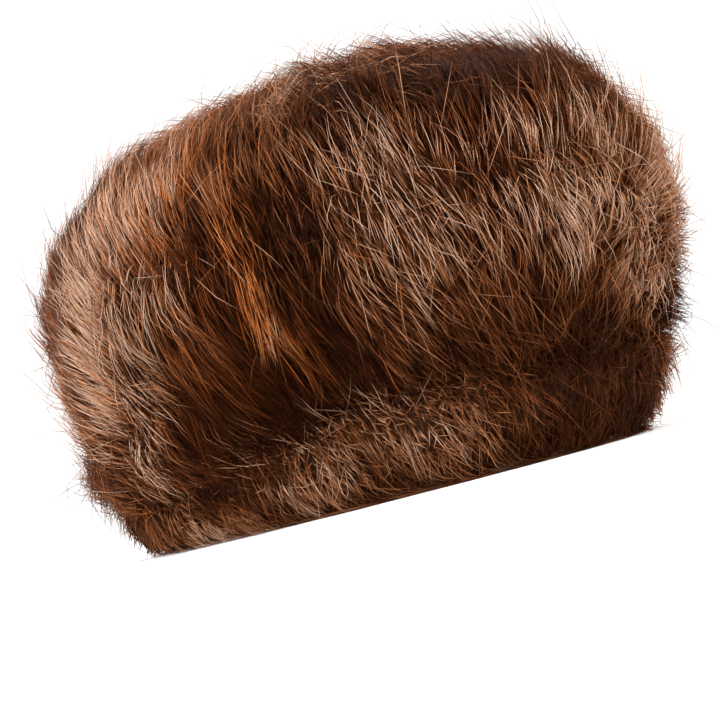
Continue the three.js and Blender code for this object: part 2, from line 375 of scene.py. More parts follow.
def draw_in(mesh):
    """Makes room for the hair on the outer side, and more room close to the floor."""
    points = read_vectors(mesh.vertices, "co")
    facing = dot(read_vectors(mesh.vertex_normals, "vector"), outward(points))
    points -= outward(points) * (DRAWN_IN * smooth_step(facing, 0, OUTER_FACING))[:, None]
    points[:, 2] = np.maximum(points[:, 2], FLOOR_GAP)
    setback = FLOOR_SETBACK * (1 - smooth_step(points[:, 2], 0, SETBACK_HEIGHT))
    points -= unit(points * SIDEWAYS) * (setback * (facing > 0))[:, None]
    mesh.vertices.foreach_set("co", points.ravel())
    mesh.update()


def stand_in(piece, node):
    """Makes a piece part of the hat, in the place of a fur solid of the frame."""
    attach(piece, "root")
    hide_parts(node)


underfur = {}
for node in FUR_NODES:
    piece = cad_copy(node, node + "_underfur")
    fuse_locks(piece)
    draw_in(piece.data)
    piece.data.materials.clear()
    stand_in(piece, node)
    underfur[node] = piece
    print(piece.name, len(piece.data.polygons), "faces")

# %% [markdown]
# Underfur is almost black between the hairs and dark chestnut where light reaches it. A noise
# that is drawn out along the way the hair hangs gives its streaks, and a finer one its fuzz.
# Real hairs would do that too, but they lie so deep that a bump is enough.

# %% Underfur finish
def bumped(tree, shader, height, strength, distance):
    """Gives a shader a bump from a height socket."""
    bump = add_node(tree, "ShaderNodeBump")
    set_inputs(bump, {"Strength": strength, "Distance": distance})
    tree.links.new(height, bump.inputs["Height"])
    tree.links.new(bump.outputs["Normal"], shader.inputs["Normal"])


underfur_finish, tree, shader = new_material("underfur", roughness=1.0, gloss=0.03)
shade = ramp(tree, streaked_noise(tree, scale=500, stretch=5, detail=6), [
    (0.3, (0.008, 0.003, 0.0015)),
    (0.5, (0.026, 0.010, 0.005)),
    (0.72, (0.070, 0.028, 0.013)),
])
tree.links.new(shade, shader.inputs["Base Color"])
fuzz = streaked_noise(tree, scale=900, stretch=6, detail=8)
bumped(tree, shader, fuzz, strength=0.9, distance=1.2 * MM)
for piece in underfur.values():
    piece.data.materials.append(underfur_finish)
print(underfur_finish.name, "is on", len(underfur), "pieces")

# %% [markdown]
# Nearly everything about the hair changes from place to place. Weights could be painted on, but
# numbers are easier to mirror and to repeat. A zone has a row for each measure that limits it:
# where it starts, and where it is full. Tables of zones add their amounts and fade softly.

# %% Places on the hat
WHORL = np.array([0.010, 0.022, 0.18])
WHORL_SIZE = 20


def turn_of(points):
    """Degrees round the hat from the front, positive towards the wearer's right."""
    return np.degrees(np.arctan2(-points[:, 0] / HAT_HALF[0], -points[:, 1] / HAT_HALF[1]))


def aside_of(points):
    """Degrees round the hat from the front, to either side."""
    return np.abs(turn_of(points))


def height_of(points):
    """Millimetres over the floor."""
    return points[:, 2] / MM


def reach_of(points):
    """Millimetres from the whorl on the crown, seen from above."""
    return np.linalg.norm((points - WHORL)[:, :2], axis=1) / MM


MEASURES = {"turn": turn_of, "aside": aside_of, "height": height_of, "reach": reach_of}


def zone(points, *limits):
    """1 inside a zone and 0 outside it, from rows of measure, start and full value."""
    share = np.ones(len(points))
    for measure, start, full in limits:
        share *= smooth_step(MEASURES[measure](points), start, full)
    return share


def by_zones(points, table):
    """The amounts of a table of zones, added up at each point."""
    return sum(amount * zone(points, *limits) for _, amount, *limits in table)


def near_whorl(points):
    return bell(reach_of(points), 0, WHORL_SIZE)


def across_table(values, table):
    """Reads a table of pairs, between its rows too."""
    return np.interp(values, [row[0] for row in table], [row[1] for row in table])


print("turn of the right ear flap's middle", turn_of(np.array([[-0.13, 0, 0.1]])).round())

# %% [markdown]
# Hair has a lie: on this hat it hangs down and forward on the ear flaps, is swept to the side at
# the front, turns up along the top edges and at the back, and runs outwards from a whorl on the
# crown. It could be combed with a brush in sculpt mode. A table of leans round the hat gives the
# same lie each time, and slow waves are added to it so that locks part and meet.

# %% The lie of the hair
# Each row: turn, and lean away from straight down, both in degrees.
LEANS = [
    (-180, 0), (-140, -46), (-112, -62), (-98, -55), (-85, -37), (-60, -14), (-56, -46),
    (-20, -38), (0, -20), (16, 0), (28, 12), (44, 16), (60, 16), (72, 20), (85, 37), (98, 55),
    (112, 62), (140, 46), (180, 0),
]
# Each row: what it is, how much it adds, and the limits of its zone.
LEAN_ZONES = [
    ("low right corner", 18, ("turn", 14, 30), ("turn", 90, 70), ("height", 100, 48)),
    ("low left corner", -18, ("turn", -44, -60), ("turn", -90, -70), ("height", 100, 48)),
    ("top of the right ear flap", -38, ("turn", 58, 66), ("height", 105, 155)),
    ("top of the left ear flap", 38, ("turn", -58, -66), ("height", 105, 155)),
    ("swept front left", -36, ("turn", 12, -10), ("turn", -60, -45), ("height", 122, 80)),
]
SWING = math.radians(13)
SWING_ZONES = [("combed sides", -0.6, ("aside", 68, 80), ("aside", 125, 110))]
FLOW_WAVE = 42 * MM
WAVE_SPREAD = (0.6, 1.5)
LEVEL_CALM = 0.8
BACKWARD = np.array([0.0, 1.0, 0.0])
CROWN_SIDES = [("aside", 44, 66), ("aside", 155, 125), ("reach", 38, 62)]
SWIRL, SWIRL_WAVE = 0.45, 0.4
COMB_BACK, COMB_WAVE = 0.5, 0.25
BAND_DROP = 0.35
BAND_SPREAD = 0.3


def waves(points, length, seed, count=9):
    """A smooth random field, mostly from -1 to 1, of plane waves about one length long."""
    random = np.random.default_rng(seed)
    ways = unit(random.normal(size=(count, 3))) * (2 * math.pi / length)
    ways *= random.uniform(*WAVE_SPREAD, (count, 1))
    phases = random.uniform(0, 2 * math.pi, count)
    return np.sin(points @ ways.T + phases).sum(axis=1) / math.sqrt(2 * count)


def onto_surface(vectors, normals):
    return unit(vectors - normals * dot(vectors, normals)[:, None])


def flap_lie(points, normals):
    """Directions down the hair on the flaps, as if every tip hung down."""
    turn = turn_of(points)
    swing = SWING * (1 + by_zones(points, SWING_ZONES)) * waves(points, FLOW_WAVE, seed=3)
    lean = np.radians(across_table(turn, LEANS) + by_zones(points, LEAN_ZONES)) + swing
    lean *= 1 - LEVEL_CALM * np.clip(normals[:, 2], 0, 1)
    angle = np.radians(turn)
    forward = np.stack([np.cos(angle), -np.sin(angle), np.zeros(len(points))], axis=1)
    forward = onto_surface(forward, normals)
    down = onto_surface(np.tile([0.0, 0.0, -1.0], (len(points), 1)), normals)
    return unit(down * np.cos(lean)[:, None] + forward * np.sin(lean)[:, None])


def crown_lie(points, normals):
    """Directions down the hair on the crown: round a whorl, and combed back at the sides."""
    away = unit((points - WHORL) * SIDEWAYS)
    round_it = np.stack([-away[:, 1], away[:, 0], np.zeros(len(points))], axis=1)
    side = zone(points, *CROWN_SIDES)
    swirl = (SWIRL + SWIRL_WAVE * waves(points, FLOW_WAVE, seed=4)) * (1 - side)
    comb = (COMB_BACK + COMB_WAVE * waves(points, FLOW_WAVE, seed=5)) * side
    return onto_surface(away + round_it * swirl[:, None] + BACKWARD * comb[:, None], normals)


def band_lie(points, normals):
    """Directions down the hair on the rim band: down and a little outwards."""
    along = flap_lie(points, normals)
    along[:, 2] -= BAND_DROP
    return onto_surface(along + BAND_SPREAD * outward(points), normals)


brow = np.array([[0, -0.14, 0.07]])
print("hair at the brow runs towards", flap_lie(brow, outward(brow)).round(2))

# %% [markdown]
# One hair is a tapering rod with three sides, closed to a point at both ends, with one or two
# bends in it. Hair curves are quicker to make, but only a mesh can be exported as it is. A set of
# map coordinates tells the finish the tone of the hair and the place along it.

# %% Hairs as one joined mesh
SIDES = 3
TIP_TAPER = 0.45
TONE_WIDTH = 0.006


def hair_faces(rings):
    """The triangles of one hair, each corner as its number, its side and its row."""
    def corner(ring, side):
        return ring * SIDES + side % SIDES, side, ring + 1

    faces = []
    for side in range(SIDES):
        root = (rings * SIDES, side + 0.5, 0)
        tip = (rings * SIDES + 1, side + 0.5, rings + 1)
        faces.append((root, corner(0, side), corner(0, side + 1)))
        for ring in range(rings - 1):
            a, b = corner(ring, side), corner(ring, side + 1)
            c, d = corner(ring + 1, side), corner(ring + 1, side + 1)
            faces += [(a, c, d), (a, d, b)]
        faces.append((corner(rings - 1, side), tip, corner(rings - 1, side + 1)))
    return np.array(faces, float)


def hair_corners(lines, outs, widths):
    """The corners of each hair: its rings, then its root and its tip."""
    rings = lines.shape[1] - 2
    across = unit(np.cross(lines[:, -1] - lines[:, 0], outs))
    corners = np.zeros((len(lines), rings * SIDES + 2, 3))
    for ring in range(rings):
        heading = unit(lines[:, ring + 2] - lines[:, ring])
        over = np.cross(across, heading)
        radii = widths * (1 - TIP_TAPER * ring / max(1, rings - 1)) / 2
        for side in range(SIDES):
            angle = 2 * math.pi * side / SIDES + math.pi / 2
            offset = across * math.cos(angle) + over * math.sin(angle)
            corners[:, ring * SIDES + side] = lines[:, ring + 1] + offset * radii[:, None]
    corners[:, -2] = lines[:, 0]
    corners[:, -1] = lines[:, -1]
    return corners


def hair_mesh(name, lines, places, outs, widths, tones):
    """Builds closed hairs along lines, an array of hairs by points by three."""
    corners = hair_corners(lines, outs, widths)
    count, size = corners.shape[:2]
    faces, sides, rows = np.moveaxis(hair_faces(lines.shape[1] - 2), 2, 0)
    numbers = (faces[None] + (np.arange(count) * size)[:, None, None]).reshape(-1, 3)
    mesh = bpy.data.meshes.new(name)
    mesh.vertices.add(count * size)
    mesh.vertices.foreach_set("co", corners.ravel())
    mesh.loops.add(numbers.size)
    mesh.loops.foreach_set("vertex_index", numbers.ravel().astype(np.int32))
    mesh.polygons.add(len(numbers))
    mesh.polygons.foreach_set("loop_start", np.arange(0, numbers.size, 3, dtype=np.int32))
    mesh.polygons.foreach_set("use_smooth", np.ones(len(numbers), bool))
    tone = tones[:, None, None] * (1 - 2 * TONE_WIDTH) + sides[None] * TONE_WIDTH / SIDES
    place = np.broadcast_to(np.array(places)[rows.astype(int)], tone.shape)
    layer = mesh.uv_layers.new(name="OFBake")
    layer.data.foreach_set("uv", np.stack([tone, place], axis=-1).ravel())
    mesh.update()
    mesh.validate()
    return mesh


print("triangles in a hair with one and with two bends", [len(hair_faces(n)) for n in (1, 2)])

# %% [markdown]
# Hair grows on the side of the pelt that looks out of the hat. Roots could be set by a particle
# system, but plain arrays keep each hair a real mesh that exports. A random triangle is drawn by
# its area, then a random place on it. Every hair also has to find the skin under it later, so
# all the underfur goes into one search tree.

# %% Where hairs grow
UNDERSIDE_FACING, UNDERSIDE_HEIGHT = -0.75, 4 * MM
OUT_START, OUT_FULL = 0.0, 0.4
SHELF_START, SHELF_FULL, SHELF_SHARE = 0.1, 0.6, 0.8
BAND_TOP = 41 * MM
INNER_FACING = -0.2
SHELF_FACING = 0.5


def outer_side(centre, normal):
    """Hair grows on faces that look out of the hat and on the band's shelf, not underneath."""
    under = (normal[:, 2] < UNDERSIDE_FACING) & (centre[:, 2] < UNDERSIDE_HEIGHT)
    out = smooth_step(dot(normal, outward(centre)), OUT_START, OUT_FULL)
    shelf = SHELF_SHARE * smooth_step(normal[:, 2], SHELF_START, SHELF_FULL) * (centre[:, 2] < BAND_TOP)
    return np.where(under, 0, np.maximum(out, shelf))


def scatter(piece, count, random):
    """Random points and normals on the outer side of a piece."""
    mesh = piece.data
    mesh.calc_loop_triangles()
    corners = np.zeros(len(mesh.loop_triangles) * 3, np.int32)
    mesh.loop_triangles.foreach_get("vertices", corners)
    corners = corners.reshape(-1, 3)
    points = read_vectors(mesh.vertices, "co")
    normals = read_vectors(mesh.vertex_normals, "vector")
    a, b, c = (points[corners[:, k]] for k in range(3))
    normal = unit(normals[corners].sum(axis=1))
    weight = np.linalg.norm(np.cross(b - a, c - a), axis=1) * outer_side((a + b + c) / 3, normal)
    chosen = random.choice(len(corners), count, p=weight / weight.sum())
    u, v = random.random((2, count))
    flip = u + v > 1
    u, v = np.where(flip, 1 - u, u), np.where(flip, 1 - v, v)
    return a[chosen] + (b - a)[chosen] * u[:, None] + (c - a)[chosen] * v[:, None], normal[chosen]


points, polygons = [], []
for piece in underfur.values():
    start = len(points)
    points += [tuple(v.co) for v in piece.data.vertices]
    polygons += [tuple(start + i for i in p.vertices) for p in piece.data.polygons]
pelt = BVHTree.FromPolygons(points, polygons)


def nearest_on_pelt(points, inward):
    """The nearest points of the pelt's outer side, and its normals there."""
    found, normals = np.empty_like(points), np.empty_like(points)
    for i, point in enumerate(points):
        place, normal, _, _ = pelt.find_nearest(point)
        found[i], normals[i] = place, normal
    wrong = (dot(normals, outward(points)) < INNER_FACING) & (normals[:, 2] < SHELF_FACING)
    found[wrong] = points[wrong]
    normals[wrong] = outward(points[wrong])
    return found, unit(normals * (1 - inward) + outward(points) * inward)


print("search tree over", len(polygons), "faces")

# %% [markdown]
# Combed hair leaves the skin, bends and then runs along the coat. Each hair walks over the pelt in
# two or three strides: it goes straight on, looks for the nearest skin, and is set at its height
# over it. Stiff hair keeps more of its straight way, so it stands out where the hat curves away.
# Hairs that come out bent double or much too short are left out.

# %% Lay hairs over the pelt
STRIDES = {3: (0.0, 0.34, 0.70, 1.0), 2: (0.0, 0.5, 1.0)}
HEIGHTS = [(0.0, 0.0), (0.34, 0.62), (0.5, 0.85), (0.7, 1.0), (1.0, 1.05)]
COMBED = 0.65
ROOT_DEPTH = 1 * MM
MOST_CLEAR = 9 * MM
FOLLOW = 0.75
EASE, KINK_EASE = 0.35, 0.9
KINKED, NOT_KINKED = 0.5, 0.9
MOST_BENT = 0.35
LEAST_REACH = 0.55


def lay(points, normals, lie, sign, stray, lengths, lifts, steps, curl, stiff):
    """Walks each hair over the pelt and returns its line, lifted off the skin."""
    places = STRIDES[steps]
    soft = unit(normals * (1 - COMBED) + outward(points) * COMBED)
    base = lie(points, soft)
    side = np.cross(soft, base)
    heading = unit((base * np.cos(stray)[:, None] * sign[:, None]) + side * np.sin(stray)[:, None])
    lines = np.zeros((len(points), len(places), 3))
    lines[:, 0] = points - soft * ROOT_DEPTH
    here = points
    for step in range(1, len(places)):
        stride = lengths * (places[step] - places[step - 1])
        target = here + heading * stride[:, None]
        ahead, there = nearest_on_pelt(target, COMBED)
        clear = np.clip(dot(target - ahead, there), 0, MOST_CLEAR)
        ahead = ahead + there * (clear * stiff)[:, None]
        height = lifts * across_table(np.full(len(points), places[step]), HEIGHTS)
        lines[:, step] = ahead + there * height[:, None]
        heading = heading + side * (curl * stride)[:, None]
        heading = unit(heading - there * (dot(heading, there) * FOLLOW)[:, None])
        here = ahead
    straight = ease_kinks(lines)
    reach = np.linalg.norm(lines[:, -1] - lines[:, 0], axis=1) / lengths
    return lines, places, soft, (straight > MOST_BENT) & (reach > LEAST_REACH)


def ease_kinks(lines):
    """Moves each bend towards the straight way, and returns how straight each hair was."""
    straight = np.ones(len(lines))
    for step in range(1, lines.shape[1] - 1):
        before, after = lines[:, step] - lines[:, step - 1], lines[:, step + 1] - lines[:, step]
        bend = dot(unit(before), unit(after))
        straight = np.minimum(straight, bend)
        ease = EASE + (KINK_EASE - EASE) * (1 - smooth_step(bend, KINKED, NOT_KINKED))
        middle = (lines[:, step - 1] + lines[:, step + 1]) / 2
        lines[:, step] += (middle - lines[:, step]) * ease[:, None]
    return straight


print("strides along a hair", STRIDES)

# %% [markdown]
# Fur always falls in locks, because neighbouring hairs cling together towards their tips. Clumps
# of a particle system do the same. Here one hair of each neighbourhood is the head of its lock,
# and the others are drawn towards it, but only those that run nearly the same way.

# %% Gather hairs into locks
ALIKE_START, ALIKE_FULL = 0.7, 0.95
LOCK_GROWTH = 1.5
LOCK_WIDTH = 0.2


def share_out(roots, spacing, random):
    """Gives each root to one lock, and returns each root's lock and each lock's head."""
    tree = KDTree(len(roots))
    for i, root in enumerate(roots):
        tree.insert(root, i)
    tree.balance()
    owner, heads = np.full(len(roots), -1), []
    for i in random.permutation(len(roots)):
        if owner[i] < 0:
            for _, j, _ in tree.find_range(roots[i], spacing):
                if owner[j] < 0:
                    owner[j] = len(heads)
            heads.append(i)
    return owner, np.array(heads)


def gather(roots, lines, owner, heads, pull):
    """Pulls neighbouring hairs together into locks."""
    drift = roots - roots[heads][owner]
    ways = unit(lines[:, -1] - lines[:, 0])
    alike = smooth_step(dot(ways, ways[heads][owner]), ALIKE_START, ALIKE_FULL)
    for step in range(1, lines.shape[1]):
        share = alike * pull * (step / (lines.shape[1] - 1)) ** LOCK_GROWTH
        target = lines[heads, step][owner] + drift * LOCK_WIDTH
        lines[:, step] += (target - lines[:, step]) * share[:, None]


print("pull along a lock", [round((step / 3) ** LOCK_GROWTH, 2) for step in (1, 2, 3)])

# %% [markdown]
# The pelt has lighter and darker places, such as the orange lock and the black streak beside it. Some
# of them are painted light: painted shade in the seam between two flaps and over the groove under them,
# a painted sheen on the pale middle of the side, and in part painted light on the front flap's upper
# middle. An image could hold them, but named soft ovals are easier to read and to move. Each has a row:
# what it is, its turn in degrees, height in millimetres, half width and half height in the same units,
# and how much lighter it is.

# %% Patches of tone
PATCHES = [
    # Painted shade: the seam where the ear flap meets the front flap is darkened as the crease between
    # them.
    ("seam of front and ear flap", 58, 94, 6, 30, -0.40),
    ("dark front edge of the ear flap", 68, 76, 14, 34, -0.32),
    ("bright lock", 66.5, 89, 3.3, 16, 0.80),
    ("black streak", 72, 94, 4, 34, -0.85),
    ("orange streak", 76.5, 116, 2.4, 24, 0.35),
    ("brown streak", 88, 84, 4.6, 24, -0.42),
    ("dark lock", 100, 116, 3.2, 14, -0.50),
    ("brown hair over it", 97, 140, 9, 12, -0.32),
    # Painted sheen: this row and the next two make the side's hair paler where light glances off it.
    ("pale side", 95, 98, 10, 42, 0.70),
    ("pale upper side", 80, 113, 8, 14, 0.50),
    ("pale side, lower", 99, 82, 7, 24, 0.40),
    ("tan top of the ear flap", 82, 142, 14, 20, 0.14),
    ("dark streak behind it", 112, 92, 4.5, 42, -0.40),
    ("brown back corner", 122, 95, 10, 50, -0.08),
    ("dark top of the ear flap's edge", 68, 146, 9, 18, -0.24),
    ("brown lower side", 88, 66, 8, 26, -0.82),
    ("pale lower side", 105, 57, 7, 22, 0.80),
    ("brown lower edge", 94, 45, 8, 16, -0.55),
    # Painted shadow: the dark corner under the ear flap, over the groove.
    ("dark corner over the groove", 74, 48, 13, 17, -0.70),
    ("lower edge of the back", 134, 30, 20, 18, -0.26),
    ("small swirl", 42, 134, 6, 7, -0.20),
    ("pale back streak", 150, 110, 6, 45, 0.18),
    ("dark back streak", 164, 80, 6, 50, -0.26),
]
FRONT_PATCHES = [
    # Painted shade: the front flap is darkened along its lower edge, over the groove.
    ("lower edge", 0, 42, 66, 23, -0.55),
    ("dark lower middle", 23, 80, 14, 19, -0.34),
    # Partly painted light: the upper middle of the front flap is made lighter where the lamps light it
    # less.
    ("pale upper middle", 3, 104, 15, 20, 0.44),
    ("pale left side", 37, 111, 12, 18, 0.33),
    ("pale lock under the top edge", 12, 107, 9, 9, 0.24),
    ("top edge", 10, 138, 38, 17, -0.62),
    ("dark top corner", 42, 142, 9, 17, -0.34),
    ("pale lower right", -12, 58, 14, 18, 0.20),
    ("pale right end", -19, 48, 12, 16, 0.52),
    ("brown upper right", -17, 120, 12, 15, -0.38),
]
BAND_PATCHES = [
    ("pale front corner", 49, 29, 15, 14, 0.60),
    ("pale corner, behind", 66, 28, 8, 16, 0.22),
    ("front", 18, 16, 16, 30, -0.10),
    ("dark side", 91, 34, 11, 14, -0.50),
    ("pale lock under the ear flap", 77, 22, 5, 14, 0.45),
    ("soft brown side by the floor", 92, 6, 17, 16, 0.50),
    ("pale lower side", 110, 34, 8, 16, 0.24),
    ("back", 150, 16, 40, 30, 0.06),
]
ORANGE_PATCHES = [
    ("bright lock", 66.5, 89, 3.6, 18, 1.4),
    ("orange streak", 76.5, 116, 2.6, 26, 1.1),
    ("locks behind the black streak", 79, 78, 5, 34, 0.5),
    ("ear flap", 76, 95, 20, 60, 0.12),
    ("brown lower side", 87, 62, 9, 28, 0.40),
    ("back corner", 128, 80, 10, 50, 0.30),
]
PATCH_LEAN = 0.1
PATCH_LEAN_FROM = 60


def patches(points, turn, rows):
    """The sum of soft ovals. Those on the ear flaps lean the way the hair does."""
    height = height_of(points)
    total = np.zeros(len(points))
    for _, at, middle, wide, tall, tone in rows:
        up_from = height - middle
        along = turn - at - PATCH_LEAN * up_from * (at > PATCH_LEAN_FROM)
        total += tone * np.exp(-((along / wide) ** 2) - (up_from / tall) ** 2)
    return total


print(sum(map(len, (PATCHES, FRONT_PATCHES, BAND_PATCHES, ORANGE_PATCHES))), "patches")

# %% [markdown]
# The pelt runs from nearly black through chestnut to a pinkish tan, with some orange locks. Each hair
# gets one tone. It starts from the hair's rank, which is also its height in the coat, so that deep hair
# is dark and top hair is light: partly the darker colour of deep hair, partly painted shade of the
# coat's depth. The tone of its place, the patches and waves along the hair then make it lighter or
# darker.

# %% Tones
SPREAD = [(0.0, 0.02), (0.3, 0.12), (0.5, 0.26), (0.68, 0.42), (0.85, 0.60), (1.0, 0.745)]
DARKEST, LIGHTEST = 0.01, 0.755
ORANGE_DARKEST, ORANGE_LIGHTEST = 0.82, 0.99
ORANGE_BASE, ORANGE_WAVE = 0.03, 20 * MM
ORANGE_LEAST, ORANGE_CREST = 0.5, 0.7
TONE_NOISE = 0.02
MIDDLE_TONE = -0.08
CLOUDS, CLOUD_WAVE = 0.13, 60 * MM
STREAKS, STREAK_WAVE = 0.14, 24 * MM
FINE_STREAKS, FINE_WAVE = 0.17, 12 * MM
BACK_STREAKS = 0.10
ALONG_HAIR = np.array([1, 1, 0.4])
# Painted shade: the band is darker towards its upper edge, in the groove under the flaps.
BAND_PAINTED_SHADE = [("upper edge", -0.20, ("height", 36, 44))]
BAND_CORNER, BAND_CORNER_AT, BAND_CORNER_WIDTH = 0.06, 50, 14
CROWN_TONES = [("sides", 0.14, ("aside", 48, 66), ("aside", 140, 110))]
CROWN_TONE, WHORL_TONE = -0.12, 0.16
FLAP_TONE = -0.02
FLAP_TONES = [
    ("ear flaps", -0.03, ("aside", 60, 80)),
    # Partly painted light: the front left is made lighter where the lamps light it less.
    ("front left", 0.32, ("turn", 16, -14), ("height", 42, 70)),
    ("back", -0.05, ("aside", 104, 118)),
]
CONTRAST, BAND_CONTRAST = 1.12, 0.3
CONTRAST_ZONES = [
    ("front left and left side", -0.62, ("turn", 20, -8)),
    ("right side", -0.2, ("turn", 58, 75)),
]


def tone_shift(points, node):
    """How much lighter or darker than the middle tone each place of the coat is."""
    turn, aside = turn_of(points), aside_of(points)
    streaks = waves(points * ALONG_HAIR, STREAK_WAVE, seed=22)
    shift = MIDDLE_TONE + CLOUDS * waves(points, CLOUD_WAVE, seed=21) + STREAKS * streaks
    if node == "rim_band":
        shift += BAND_CORNER * bell(aside, BAND_CORNER_AT, BAND_CORNER_WIDTH)
        # The band's upper edge gets painted shade here.
        return shift + by_zones(points, BAND_PAINTED_SHADE) + patches(points, aside, BAND_PATCHES)
    if node == "crown_fur":
        return shift + CROWN_TONE + by_zones(points, CROWN_TONES) + WHORL_TONE * near_whorl(points)
    fine = waves(points * ALONG_HAIR, FINE_WAVE, seed=23) * zone(points, ("aside", 60, 80))
    shift += FINE_STREAKS * fine + BACK_STREAKS * streaks * zone(points, ("aside", 110, 135))
    shift += FLAP_TONE + by_zones(points, FLAP_TONES)
    return shift + patches(points, aside, PATCHES) + patches(points, turn, FRONT_PATCHES)


def contrast(points, node):
    """How much of the contrast between the hairs of one place is left."""
    if node == "rim_band":
        return BAND_CONTRAST
    return CONTRAST + by_zones(points, CONTRAST_ZONES)


def orange_share(points, node):
    """How many hairs are orange: most in some streaks of the ear flaps."""
    if node in LIES:
        return ORANGE_BASE
    wave = waves(points * ALONG_HAIR, ORANGE_WAVE, seed=31)
    streak = ORANGE_LEAST + smooth_step(wave, 0.0, ORANGE_CREST)
    return ORANGE_BASE + patches(points, aside_of(points), ORANGE_PATCHES) * streak


def hair_tones(points, node, rank, random):
    """Where on the palette each hair is: from nearly black to pinkish tan, and orange past that."""
    # A low rank means deep hair and a dark tone: partly its own colour, partly painted shade of the
    # coat's depth.
    rank = 0.5 + (rank - 0.5) * contrast(points, node)
    tones = across_table(np.clip(rank + tone_shift(points, node), 0, 1), SPREAD)
    tones = np.clip(tones + random.normal(0, TONE_NOISE, len(points)), DARKEST, LIGHTEST)
    orange = random.random(len(points)) < orange_share(points, node)
    orange_tones = ORANGE_DARKEST + tones * (ORANGE_LIGHTEST - ORANGE_DARKEST) / LIGHTEST
    return np.where(orange, orange_tones, tones)


LIES = {"crown_fur": crown_lie, "rim_band": band_lie}
print("tones of deep, middle and top hair", across_table([0.1, 0.5, 0.9], SPREAD).round(2))

# %% [markdown]
# At the top of the flaps, at the back and at the front of the crown the hair is brushed up. It could
# have a lie of its own. Turning a share of the hairs round is simpler, and both kinds mix softly where
# a zone fades. Brushed-up hair on the front flap and the crown's front is also stiffer, so it stands
# more.

# %% Hair that is brushed up
TIPS_UP = [(0, 0.0), (57, 0.02), (82, 0.06), (94, 0.5), (106, 0.97), (180, 1.0)]
LOW_TIPS_UP = 0.35
CROWN_FRONT = [("aside", 70, 50), ("reach", 35, 65)]
CROWN_SIDES_UP, CROWN_FRONT_UP = 0.95, 0.6
BAND_UP = 0.40
BAND_UP_ZONES = [("sides and back", 0.35, ("aside", 60, 100))]
EDGE_UP, SIDE_EDGE_UP = 0.85, 0.15
EDGE_START, SIDE_EDGE_START, LEFT_EDGE_START = 86, -16, -34
EDGE_FULL, LEFT_EDGE_FULL = 134, -40
STIFFNESS, STANDING = 0.45, 0.7
STANDS_FROM = 0.3


def flaps_up(points):
    """How many hairs of the flaps point up: those of the top edges, the back and the front left."""
    share = across_table(aside_of(points), TIPS_UP)
    share *= LOW_TIPS_UP + (1 - LOW_TIPS_UP) * zone(points, ("height", 38, 62))
    side = zone(points, ("aside", 52, 64))
    left = (1 - side) * zone(points, ("turn", 10, -25))
    start = EDGE_START + SIDE_EDGE_START * side + LEFT_EDGE_START * left
    full = EDGE_FULL + LEFT_EDGE_FULL * left
    edge = (EDGE_UP + SIDE_EDGE_UP * side) * smooth_step(height_of(points), start, full)
    return np.maximum(share, edge)


def tips_up(points, node, random):
    """Minus one for each hair that points up its pelt, and one for the rest."""
    if node == "rim_band":
        share = (BAND_UP + by_zones(points, BAND_UP_ZONES)) * zone(points, ("height", 15, 30))
    elif node == "crown_fur":
        sides, front = zone(points, *CROWN_SIDES), zone(points, *CROWN_FRONT)
        share = np.maximum(CROWN_SIDES_UP * sides, CROWN_FRONT_UP * front)
    else:
        share = flaps_up(points)
    return np.where(random.random(len(points)) < share, -1.0, 1.0)


def stiffness(points, node, sign):
    """Hair that is brushed up on the front flap and the crown's front stands more than the rest."""
    front = (node == "crown_fur") & (zone(points, *CROWN_FRONT) > STANDS_FROM)
    return np.where((sign < 0) & (front | (node == "front_flap")), STANDING, STIFFNESS)


round_the_hat = np.array([[0, -0.15, 0.1], [-0.13, 0, 0.1], [0, 0.15, 0.1]])
print("share of tips up in front, at the side and behind", flaps_up(round_the_hat).round(2))

# %% [markdown]
# Some hair lies loose across its neighbours, most of it on the band. Over the groove it is short,
# so that the band's edge still shows, and behind it is fuller. A groomer does that with shears
# and a brush, and here a few zones change a share, a length or a height, which is easy to mirror.

# %% Loose, short and lifted hair
LOOSE = {"right_ear_flap": 0.04, "left_ear_flap": 0.04, "neck_flap": 0.05, "rim_band": 0.75}
LOOSE_ELSEWHERE = 0.12
LOW_FRONT_LOOSE, WHORL_LOOSE = 0.2, 0.8
ROOM, SIDE_ROOM = 0.45, 0.4
LIFT_ZONES = [("back", 3.5 * MM, ("aside", 95, 125), ("height", 70, 95))]
CROWN_SIDES_LIFT = -4 * MM
CORNER_LIFT, CORNER_AT, CORNER_WIDTH = -2.5 * MM, 40, 22


def loose_share(points, node, wild):
    """How many hairs lie loose across their neighbours."""
    share = LOOSE.get(node, LOOSE_ELSEWHERE) + wild
    if node == "front_flap":
        share = share + LOW_FRONT_LOOSE * zone(points, ("height", 95, 45))
    if node == "crown_fur":
        share = share + WHORL_LOOSE * near_whorl(points)
    return share


def room_below(points, node):
    """Shortens hair near the groove under the flaps, so that it doesn't hang over the band."""
    if node in LIES:
        return np.ones(len(points))
    least = ROOM + SIDE_ROOM * zone(points, ("aside", 62, 85))
    return least + (1 - least) * zone(points, ("height", 40, 80))


def extra_lift(points, node):
    """The coat is fuller at the back, and lies flatter at the front corners and on the crown."""
    if node == "crown_fur":
        return CROWN_SIDES_LIFT * zone(points, *CROWN_SIDES)
    flat = bell(aside_of(points), CORNER_AT, CORNER_WIDTH) * zone(points, ("height", 70, 95))
    return by_zones(points, LIFT_ZONES) + CORNER_LIFT * flat


print("share of loose hairs on the band", LOOSE["rim_band"])

# %% [markdown]
# Three things happen to hair that has been laid. At the sides it bridges the groove over the
# band. On the floor the tips spread out, as a broom's do. And hair that leaves the hat's
# measured box is drawn back, more and more the further out it is, so that no edge shows.

